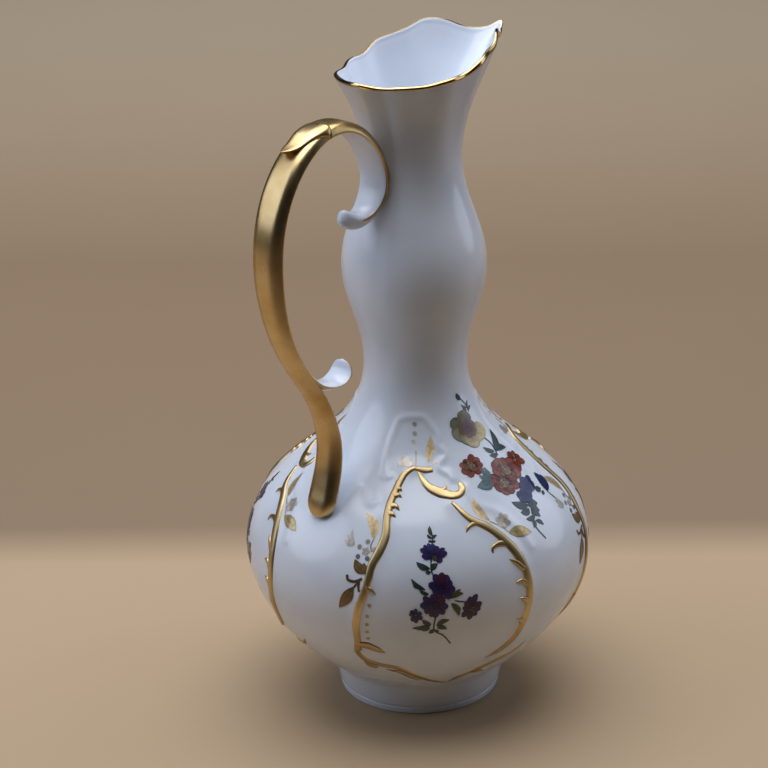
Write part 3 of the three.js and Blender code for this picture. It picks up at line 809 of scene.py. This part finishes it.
def makeVioletSpray(number, panel):
    tints = violetTints
    spray = newSpray(panel, 62.0)
    addStem(spray, [(-3.2, 19.2), (-2.8, 22.5), (-3.1, 25)], 0.4, "2E3A36")
    addStem(spray, [(-4, 14.4), (-4.3, 10.3), (-3.9, 8.6)], 0.5, "2E3A36")
    addStem(spray, [(-3.6, -6.2), (-3.9, -11.9), (-0.7, -14.6), (2.1, -19)], 0.5, "3A3A2C")
    addStem(spray, [(3.2, -0.8), (4.6, -1.2), (6.6, -1.6)], 0.4, "3A3A2C")
    addLeaves(spray, [
        (-2.8, 22, -3.3, 25.8, 1.3), (-3, 21.2, -4.5, 22.8, 1.1), (-3, 20.9, -1.2, 22.4, 1.1),
        (-3.1, 20.2, -4.4, 20.6, 1.0), (-3, 19.8, -1.8, 20.2, 1.0), (-4.7, 10.8, -9.2, 13.2, 2.2),
        (-4.2, 10.2, -1.9, 12.4, 2.0), (-4.6, 9.8, -6.4, 9.8, 1.5), (-5.6, 2.1, -8.9, 3.8, 1.4),
        (-6.8, 3.7, -11.4, 7.5, 1.7), (-8.4, 4.6, -11, 5.2, 1.0), (-5, -9.2, -11.4, -10.7, 1.9),
        (-5.2, -9, -8.2, -7.3, 1.7), (-5.6, -9.8, -8, -12, 1.6), (-3.2, -10, 1.3, -7.9, 2.0),
        (-3, -10.8, 0.5, -11.7, 1.8), (-4.2, -11.4, -5.9, -13.1, 1.6),
        (-3.6, -11.8, -2.6, -13.4, 1.2)], tints["leaf"])
    addLeaves(spray, [
        (1.8, 0.2, 6.3, 1.5, 1.8), (3.2, 0.6, 5.4, 3, 1.3), (2, -1.6, 4.6, -6.7, 2.2),
        (2.6, -3, 5.4, -4.2, 1.2)], tints["olive"])
    addPetals(spray, (-2.9, 14.6), [
        (-7.5, 17.5), (-7.1, 15.2), (-5.9, 19), (-4.6, 19.5), (-0.2, 13.4), (1.6, 15.9), (0.8, 17.6),
        (-3.2, 19.3), (-1.5, 18.4)], 2.2, pick(tints, "plum indigo indigo blue"))
    addDot(spray, (-2.8, 14.3), 0.9, "4C4632")
    addPetals(spray, (-3.5, -1.7), [
        (-7.5, 1.3), (-8.8, -1.8), (-7.1, -4.7), (-5.4, -6), (-3.6, -6.5), (-0.6, -5.4), (0.9, -2.6),
        (-0.2, 0.6), (-4.6, 2.1)], 2.6, pick(tints, "plum indigo plum wine"))
    addPetals(spray, (-1.1, 4.3), [
        (-5.6, 5.7), (-4.5, 3), (-2.5, 0.8), (1.6, 0.1), (3.5, 3), (2.5, 6), (0.9, 8.4), (-3.6, 8.8),
        (-0.7, 9.3)], 2.8, pick(tints, "indigo indigo plum plum plum plum plum plum wine"))
    addPetals(spray, (-10.3, -5.5), [
        (-12.6, -5), (-11.6, -7.7), (-10.2, -8.5), (-8.2, -7.1), (-8.4, -4.3), (-10.3, -2.9),
        (-11.9, -3.6)], 1.6, pick(tints, "plum indigo"))
    addPetals(spray, (9.2, -4.6), [
        (11.1, 0.5), (8.6, 0), (12.7, -2.6), (12.3, -5.1), (10.8, -7.3), (8.2, -8.7), (5.6, -7.2),
        (5.9, -3.8), (7, -1.4)], 2.3, pick(tints, "plum plum wine"))
    for centre, reach in [((-0.8, 4.4), 1.3), ((-3.4, -1.8), 1.2), ((9.4, -4.9), 1.2)]:
        addRing(spray, centre, reach, 6, 0.8, pick(tints, "wine heart"))
    sprayPiece(f"violetSpray{number}", spray, enamel)


meadowTurns = [272.0, 5.0, 92.0]
meadowTints = {
    "yellow": "6E5440 E2D69A AC9C64 5E4438",
    "straw": "7A6248 DCCFA2 A2946A 6A5040",
    "olive": "4C3C36 84825A 66644A 44322E",
    "moss": "4A463C 868A70 4C5144 464438",
    "sage": "54483E A4A284 626454 4C4036",
    "bloom": "4A2C30 77664E 6C5846 42262C",
    "maroon": "462830 674842 57393A 3E222A",
    "red": "6A2E20 8A4430 4C1A14 521E18",
    "rose": "763A2C 965440 521E18 5C241E",
    "blush": "7E4238 9E6456 5A241E 662C26",
    "dark": "4C2420 603026 42201C 3A1A18",
    "fold": "6E5440 8A6E52 5C3C30 563A2E",
    "cream": "8E7858 A48E70 6A4C3A 5C4032",
    "blue": "262C58 3F4978 1D2246 1B2142",
    "ink": "22264A 383E6A 262A50 1A1C38",
    "leaf": "2E3E40 4E605C 2C3A3C 222F30",
    "grey": "50656A 7A9094 52686C 44585C",
}


# folds in a rose's heart: radius, place aside and up as shares of the heart, then the tint
roseFolds = [(1.04, 0, 0, "4E2622"), (0.9, 0.06, 0.04, "806A4E"), (0.7, 0.16, -0.12, "5C3A30"),
             (0.58, 0.1, -0.06, "8A7458"), (0.4, -0.06, 0.06, "5A3830"), (0.3, -0.02, 0.03, "84705A")]
# rings of small petals around it: reach, petals, first angle, petal width, tints and where a petal starts
roseRings = [(1.16, 10, 0.3, 0.62, "dark rose fold", 0.74), (0.66, 6, 0.9, 0.42, "fold cream", 0.5)]


def makeMeadowSpray(number, turn):
    tints = meadowTints
    spray = newSpray(turn, 92.0)
    for course, width in [
            ([(0.4, 31.9), (1.9, 29.7), (2.4, 26.6)], 0.45), ([(2.2, 17.8), (4.6, 12.8), (3.9, 8)], 0.55),
            ([(-8, 5), (-5.6, 3.4), (-3, 2)], 0.45),
            ([(2.3, -11.7), (0.7, -15.3), (-1.4, -20.7), (0.6, -25.9)], 0.5),
            ([(14.8, -12.4), (15.6, -14.2), (16.8, -16.4)], 0.4)]:
        addStem(spray, course, width, "334344")
    addLeaves(spray, [
        (0.4, 31.8, -1.3, 34.6, 2.0), (2.3, 27.8, 3.8, 30.6, 1.1), (2, 28.2, -0.3, 30.1, 1.0),
        (2.5, 27.2, 4.5, 28.3, 1.1), (1.6, 27.6, -0.2, 28.7, 1.0), (3.6, 10, -0.2, 13.1, 2.0),
        (5, 9.8, 10.9, 8.6, 2.4), (4, 8.8, 0.2, 9.5, 2.0), (6, 9.4, 9, 11, 1.6),
        (1, -12.6, -5.0, -9.3, 3.2), (0.8, -13.4, 5.6, -13.7, 3.8), (0.2, -14, -4.2, -14, 2.8),
        (0.8, -14.8, 4.4, -16.4, 3.0), (0.8, -17, -3.6, -16.8, 2.0), (0.2, -15.4, 3.2, -18.2, 2.4),
        (0, -18.6, 2.6, -21.3, 1.6), (-0.8, -18.2, -2.4, -20.6, 1.8), (12.2, -10.4, 9, -8.6, 2.4),
        (12.4, -11.2, 11, -12.6, 1.6)], tints["leaf"])
    addLeaves(spray, [(4.3, 10, 8.9, 17.2, 3.2), (4.6, 9.6, 7.6, 13.4, 2.4)], tints["leaf"], -0.16)
    addLeaves(spray, [
        (-6.4, 1.2, -13.2, -0.1, 4.2), (-6, 1.8, -5.4, 6.2, 3.2),
        (-6.2, 1.6, -9.6, 3.8, 2.6)], tints["grey"])
    # the yellow flower: shaded petals behind, lit ones in front, all darkening into a maroon heart
    addPetals(spray, (-1.8, 21.5), [
        (-7.9, 24.9), (0, 27.9), (-8.6, 18.9), (-6.4, 16.6), (-1.8, 14.2), (6.1, 18.8),
        (3.4, 16.4)], 6.0, pick(tints, "moss olive sage sage straw yellow yellow"))
    addPetals(spray, (-1.7, 21.9), [
        (-5.4, 23.2), (-2.6, 25.4), (0.6, 25.8), (2.2, 22.4), (1.8, 20), (-0.6, 18), (-3.8, 18.1),
        (-5.8, 20.4)], 3.4, [tints["bloom"]])
    addRing(spray, (-1.7, 21.6), 2.6, 7, 2.0, [tints["maroon"]], 0.4)
    # red flowers: outer petals, a dark ring and a folded brown heart
    addPetals(spray, (9.2, 3.6), [(9.4, 6.9), (13.2, 5.6), (14.4, 2.9), (15, 0.4), (11, 0.4)], 2.7,
              pick(tints, "red rose"))
    addRing(spray, (10.8, 3.6), 1.5, 5, 0.9, pick(tints, "dark cream"))
    for centre, tips, wide, reach in [
            ((-9.7, 8.3), [(-6.6, 12.3), (-4.9, 10.2), (-5, 7.6), (-6.4, 5.2), (-8.7, 4.2), (-13.2, 4.2),
                           (-14.6, 6.3), (-13.7, 9), (-10.4, 11.2)], 2.9, 2.3),
            ((2.4, 2.0), [(4.5, 6.7), (9.1, 4.2), (10.6, 0.5), (7.5, -2.3), (3.4, -2.9), (-3.6, 3),
                          (-2, 6.2), (0.9, 7.5)], 4.6, 3.2),
            ((-2.2, -2.0), [(-5.4, 2.5), (-7.3, -0.1), (-7, -3.8), (-5, -6.2), (-0.9, -6.5), (3.5, -5.2),
                            (4.4, -2.2)], 4.2, 2.9)]:
        addPetals(spray, centre, tips, wide, pick(tints, "red rose red blush"))
        for share, aside, up, tint in roseFolds:
            addDot(spray, (centre[0] + aside * reach, centre[1] + up * reach), share * reach, tint)
        for share, count, first, broad, names, start in roseRings:
            addRing(spray, centre, share * reach, count, broad * reach, pick(tints, names), first, start)
    addDot(spray, (6.4, -6.6), 2.8, "2B315C")
    addDot(spray, (2.6, -9), 2.6, "282C54")
    addPetals(spray, (2.3, -9.2), [
        (-0.5, -7), (-1.1, -9.6), (0.9, -11.6), (4.2, -12.2), (5.8, -9.8),
        (3, -6.6)], 2.8, pick(tints, "ink blue"))
    addPetals(spray, (6.5, -6.5), [
        (6.7, -3), (10.2, -4.1), (10.3, -7), (8.2, -9.3), (4.6, -9.4),
        (2.4, -7), (3.6, -4.6)], 3.2, pick(tints, "blue blue ink"))
    addRing(spray, (6.5, -6.7), 1.6, 5, 0.9, pick(tints, "ink blue"))
    addLeaves(spray, [(15.2, -12.8, 15, -4.8, 3.6), (15.3, -12.7, 17.6, -6.9, 3.4)], tints["ink"], -0.1)
    sprayPiece(f"meadowSpray{number}", spray, enamel)


giltTints = {
    "leaf": "C8AC7C D6BE94 DACCB0 9A7E54",
    "pale": "C4BBAE D2CAC0 BCB2A4 AA9E8C",
    "dark": "806844 9A7E50 6E5838 5A4528",
    "olive": "BCA878 CDB98A A89468 7E6A44",
}


def makeGiltSprigs(number, panel):
    tints = giltTints
    # left of the panel
    spray = newSpray(panel - 31.0, 80.0)
    addStem(spray, [(5.6, 0), (5.2, -2.4), (6, -4.4)], 0.4, "9A8258")
    addLeaves(spray, [(5.8, 0.1, 0.3, 9.4, 3.6)], tints["leaf"], -0.12)
    addLeaves(spray, [
        (-0.6, -2.9, -2.8, 2.7, 1.5), (-0.8, -2.9, -4.8, -1.5, 1.5),
        (-0.6, -2.8, -4.2, 0.6, 1.2)], tints["pale"])
    addRing(spray, (3.9, -4.4), 1.5, 5, 1.1, [tints["pale"]])
    for centre, tint in [((3.8, -1), "A09A92"), ((1.3, -3.1), "A8A094"), ((6.6, -3.5), "B4AEA2"),
                         ((1.4, -6.5), "8E8A86"), ((4.9, -6.8), "767880")]:
        addDot(spray, centre, 0.85, tint)
    addLeaves(spray, [(5.4, -11.8, 0.5, -7.6, 3.4), (5.6, -11.4, 4, -8.4, 2.4)], tints["dark"])
    addStem(spray, [(-1.5, -13.2), (-1, -14.8), (0.6, -15.2), (2.2, -14.9), (4.2, -13.8)], 0.9, "6A583C")
    addStem(spray, [(3.2, -14.4), (3.1, -16.4), (3.5, -18.4)], 0.8, "6A583C")
    addStem(spray, [(2.8, -15.2), (1.4, -17.2), (0.4, -18.4)], 0.6, "6A583C")
    addLeaves(spray, [(1.3, -17.1, -3.9, -25.4, 3.9)], tints["dark"], 0.02)
    sprayPiece(f"giltSprigLeft{number}", spray, goldPaint)

    # right of the panel
    spray = newSpray(panel + 24.0, 84.0)
    addStem(spray, [(-2.8, -1.4), (0, -3.6), (2.6, -6.6)], 0.4, "B49C70")
    addLeaves(spray, [(-2.8, -1, -5.1, 8.6, 3.3)], tints["leaf"])
    addRing(spray, (2.3, -2.4), 2.9, 6, 2.0, [tints["pale"]], 0.5)
    addDot(spray, (2.1, -1.8), 0.7, "DAD2C2")
    addDot(spray, (2.2, -3.9), 0.7, "DAD2C2")
    addLeaves(spray, [(2.6, -6.9, 12.1, -9.5, 4.2)], tints["olive"], 0.04)
    sprayPiece(f"giltSprigRight{number}", spray, goldPaint)

    # above the panel's apex
    spray = newSpray(panel, 100.0)
    for centre in [(-4, 14), (-4.2, 10.7), (-4.9, 7.7)]:
        addDot(spray, centre, 0.8, "D6D2C8")
    addStem(spray, [(-4.5, 4.4), (-4.7, 2), (-5.1, -0.9)], 0.45, "A59A84")
    addLeaves(spray, [(-0.6, 0.2, 1.3, 9.6, 3.0)], tints["leaf"], -0.02)
    addPetals(spray, (-9.6, -1.4), [(-11.1, 0), (-9.3, 2.6), (-7.4, 2.2), (-6.2, 0.3)], 1.9, [tints["pale"]])
    addDot(spray, (1.8, -0.3), 0.6, "D2B49C")
    sprayPiece(f"giltSprigTop{number}", spray, goldPaint)

    # dots beside the left stem
    spray = newSpray(panel, 62.0)
    for turn, height in [(-24.3, 59.3), (-25.1, 55.1), (-25.4, 51.6), (-25.6, 48.4), (-25.6, 45.4)]:
        addDot(spray, (math.radians(turn) * float(radiusAt(height)), float(runAt(height) - runAt(62.0))),
               0.7, "B0A488")
    sprayPiece(f"giltDots{number}", spray, goldPaint)


for number, panel in enumerate(panelAngles, 1):
    makeVioletSpray(number, panel)
    makeGiltSprigs(number, panel)
for number, turn in enumerate(meadowTurns, 1):
    makeMeadowSpray(number, turn)
print("painting ready")


# floor: a warm board, pale round the jug and taupe behind it; painted shade darkens it in front of the jug
# and painted light makes it paler far away
floorForm = {"size": 6.0, "grainMm": 60, "turnDegrees": 47.5,
             # the first stop's dark brown is painted shade in front of the jug, the last stop's pale tint is
             # painted light far away
             "stops": [(-0.26, "6C5B4A"), (-0.11, "B59C7C"), (0.105, "B59C7C"), (0.14, "8A735A"),
                       (0.5, "8C755B"), (1.25, "CAB79B")]}


def makeFloor():
    form = floorForm
    material, tree, shader = newMaterial("paleBoard")
    place = addNode(tree, "ShaderNodeTexCoord")
    turned = addNode(tree, "ShaderNodeVectorRotate", {"rotation_type": "Z_AXIS"},
                     {"Vector": place.outputs["Object"], "Angle": math.radians(form["turnDegrees"])})
    depth = addNode(tree, "ShaderNodeSeparateXYZ", None, {"Vector": turned.outputs["Vector"]})
    near, far = form["stops"][0][0], form["stops"][-1][0]
    share = addNode(tree, "ShaderNodeMapRange", None,
                    {"Value": depth.outputs["Y"], "From Min": near, "From Max": far})
    shade = addNode(tree, "ShaderNodeValToRGB", None, {"Fac": share.outputs["Result"]})
    setRamp(shade, [((metres - near) / (far - near), hexColour(code)) for metres, code in form["stops"]])
    grain = addNode(tree, "ShaderNodeTexNoise", None,
                    {"Vector": place.outputs["Object"], "Scale": perMetre(form["grainMm"]), "Detail": 3.0})
    rough = addNode(tree, "ShaderNodeMapRange", None,
                    {"Value": grain.outputs["Fac"], "To Min": 0.6, "To Max": 0.75})
    tree.links.new(shade.outputs["Color"], shader.inputs["Base Color"])
    tree.links.new(rough.outputs["Result"], shader.inputs["Roughness"])
    half = form["size"] / 2
    data = bpy.data.meshes.new("paleFloor")
    data.from_pydata([(-half, -half, 0), (half, -half, 0), (half, half, 0), (-half, half, 0)], [],
                     [(0, 1, 2, 3)])
    data.materials.append(material)
    floor = bpy.data.objects.new("paleFloor", data)
    scene.collection.objects.link(floor)


makeFloor()

# soft studio light: a wide panel overhead and a weaker one at each side
lightForm = [
    {"name": "overhead", "place": (0.16, 0.26, 1.3), "aim": (0.16, 0.26, 0), "size": (1.7, 1.7),
     "power": 24, "tint": "F6F8FF"},
    {"name": "leftPanel", "place": (-0.85, 0.8, 0.75), "aim": (0, 0, 0.14), "size": (1.0, 1.1),
     "power": 5.0, "tint": "DCE8FF"},
    {"name": "rightPanel", "place": (0.95, -0.6, 0.6), "aim": (0, 0, 0.14), "size": (0.8, 1.1),
     "power": 3.2, "tint": "DCE8FF"},
]
worldForm = {"tint": "CDD5E4", "strength": 0.02}


def makeLight():
    for form in lightForm:
        data = bpy.data.lights.new(form["name"], "AREA")
        data.shape = "ELLIPSE"
        data.size, data.size_y = form["size"]
        data.energy = form["power"]
        data.color = hexColour(form["tint"])[:3]
        lamp = bpy.data.objects.new(form["name"], data)
        lamp.location = form["place"]
        aim = Vector(form["aim"]) - Vector(form["place"])
        lamp.rotation_euler = aim.to_track_quat("-Z", "Y").to_euler()
        scene.collection.objects.link(lamp)
    world = bpy.data.worlds.new("paleRoom")
    scene.world = world
    world.use_nodes = True
    sky = world.node_tree.nodes["Background"]
    sky.inputs["Color"].default_value = hexColour(worldForm["tint"])
    sky.inputs["Strength"].default_value = worldForm["strength"]


makeLight()

# camera where the photograph was taken from
cameraForm = {"azimuth": -47.5, "distance": 800.0, "height": 427.9, "pitch": 21.22, "yaw": 0.81,
              "roll": -1.08, "focalPixels": 2408.1, "imagePixels": 768, "sensor": 36.0, "farMetres": 20}


def makeCamera():
    form = cameraForm
    azimuth = math.radians(form["azimuth"])
    place = toRow([(math.sin(azimuth) * form["distance"], -math.cos(azimuth) * form["distance"],
                    form["height"])])[0]
    heading = azimuth + math.radians(form["yaw"])
    pitch, roll = math.radians(form["pitch"]), math.radians(form["roll"])
    right = Vector((math.cos(heading), math.sin(heading), 0))
    ahead = Vector((-math.sin(heading) * math.cos(pitch), math.cos(heading) * math.cos(pitch),
                    -math.sin(pitch)))
    up = right.cross(ahead)
    right, up = right * math.cos(roll) + up * math.sin(roll), up * math.cos(roll) - right * math.sin(roll)
    data = bpy.data.cameras.new("photoCamera")
    data.sensor_width = form["sensor"]
    data.lens = form["sensor"] * form["focalPixels"] / form["imagePixels"]
    data.clip_end = form["farMetres"]
    camera = bpy.data.objects.new("photoCamera", data)
    camera.matrix_world = Matrix.Translation(place) @ Matrix((right, up, -ahead)).transposed().to_4x4()
    scene.collection.objects.link(camera)
    scene.camera = camera


makeCamera()
print("floor, light and camera ready")
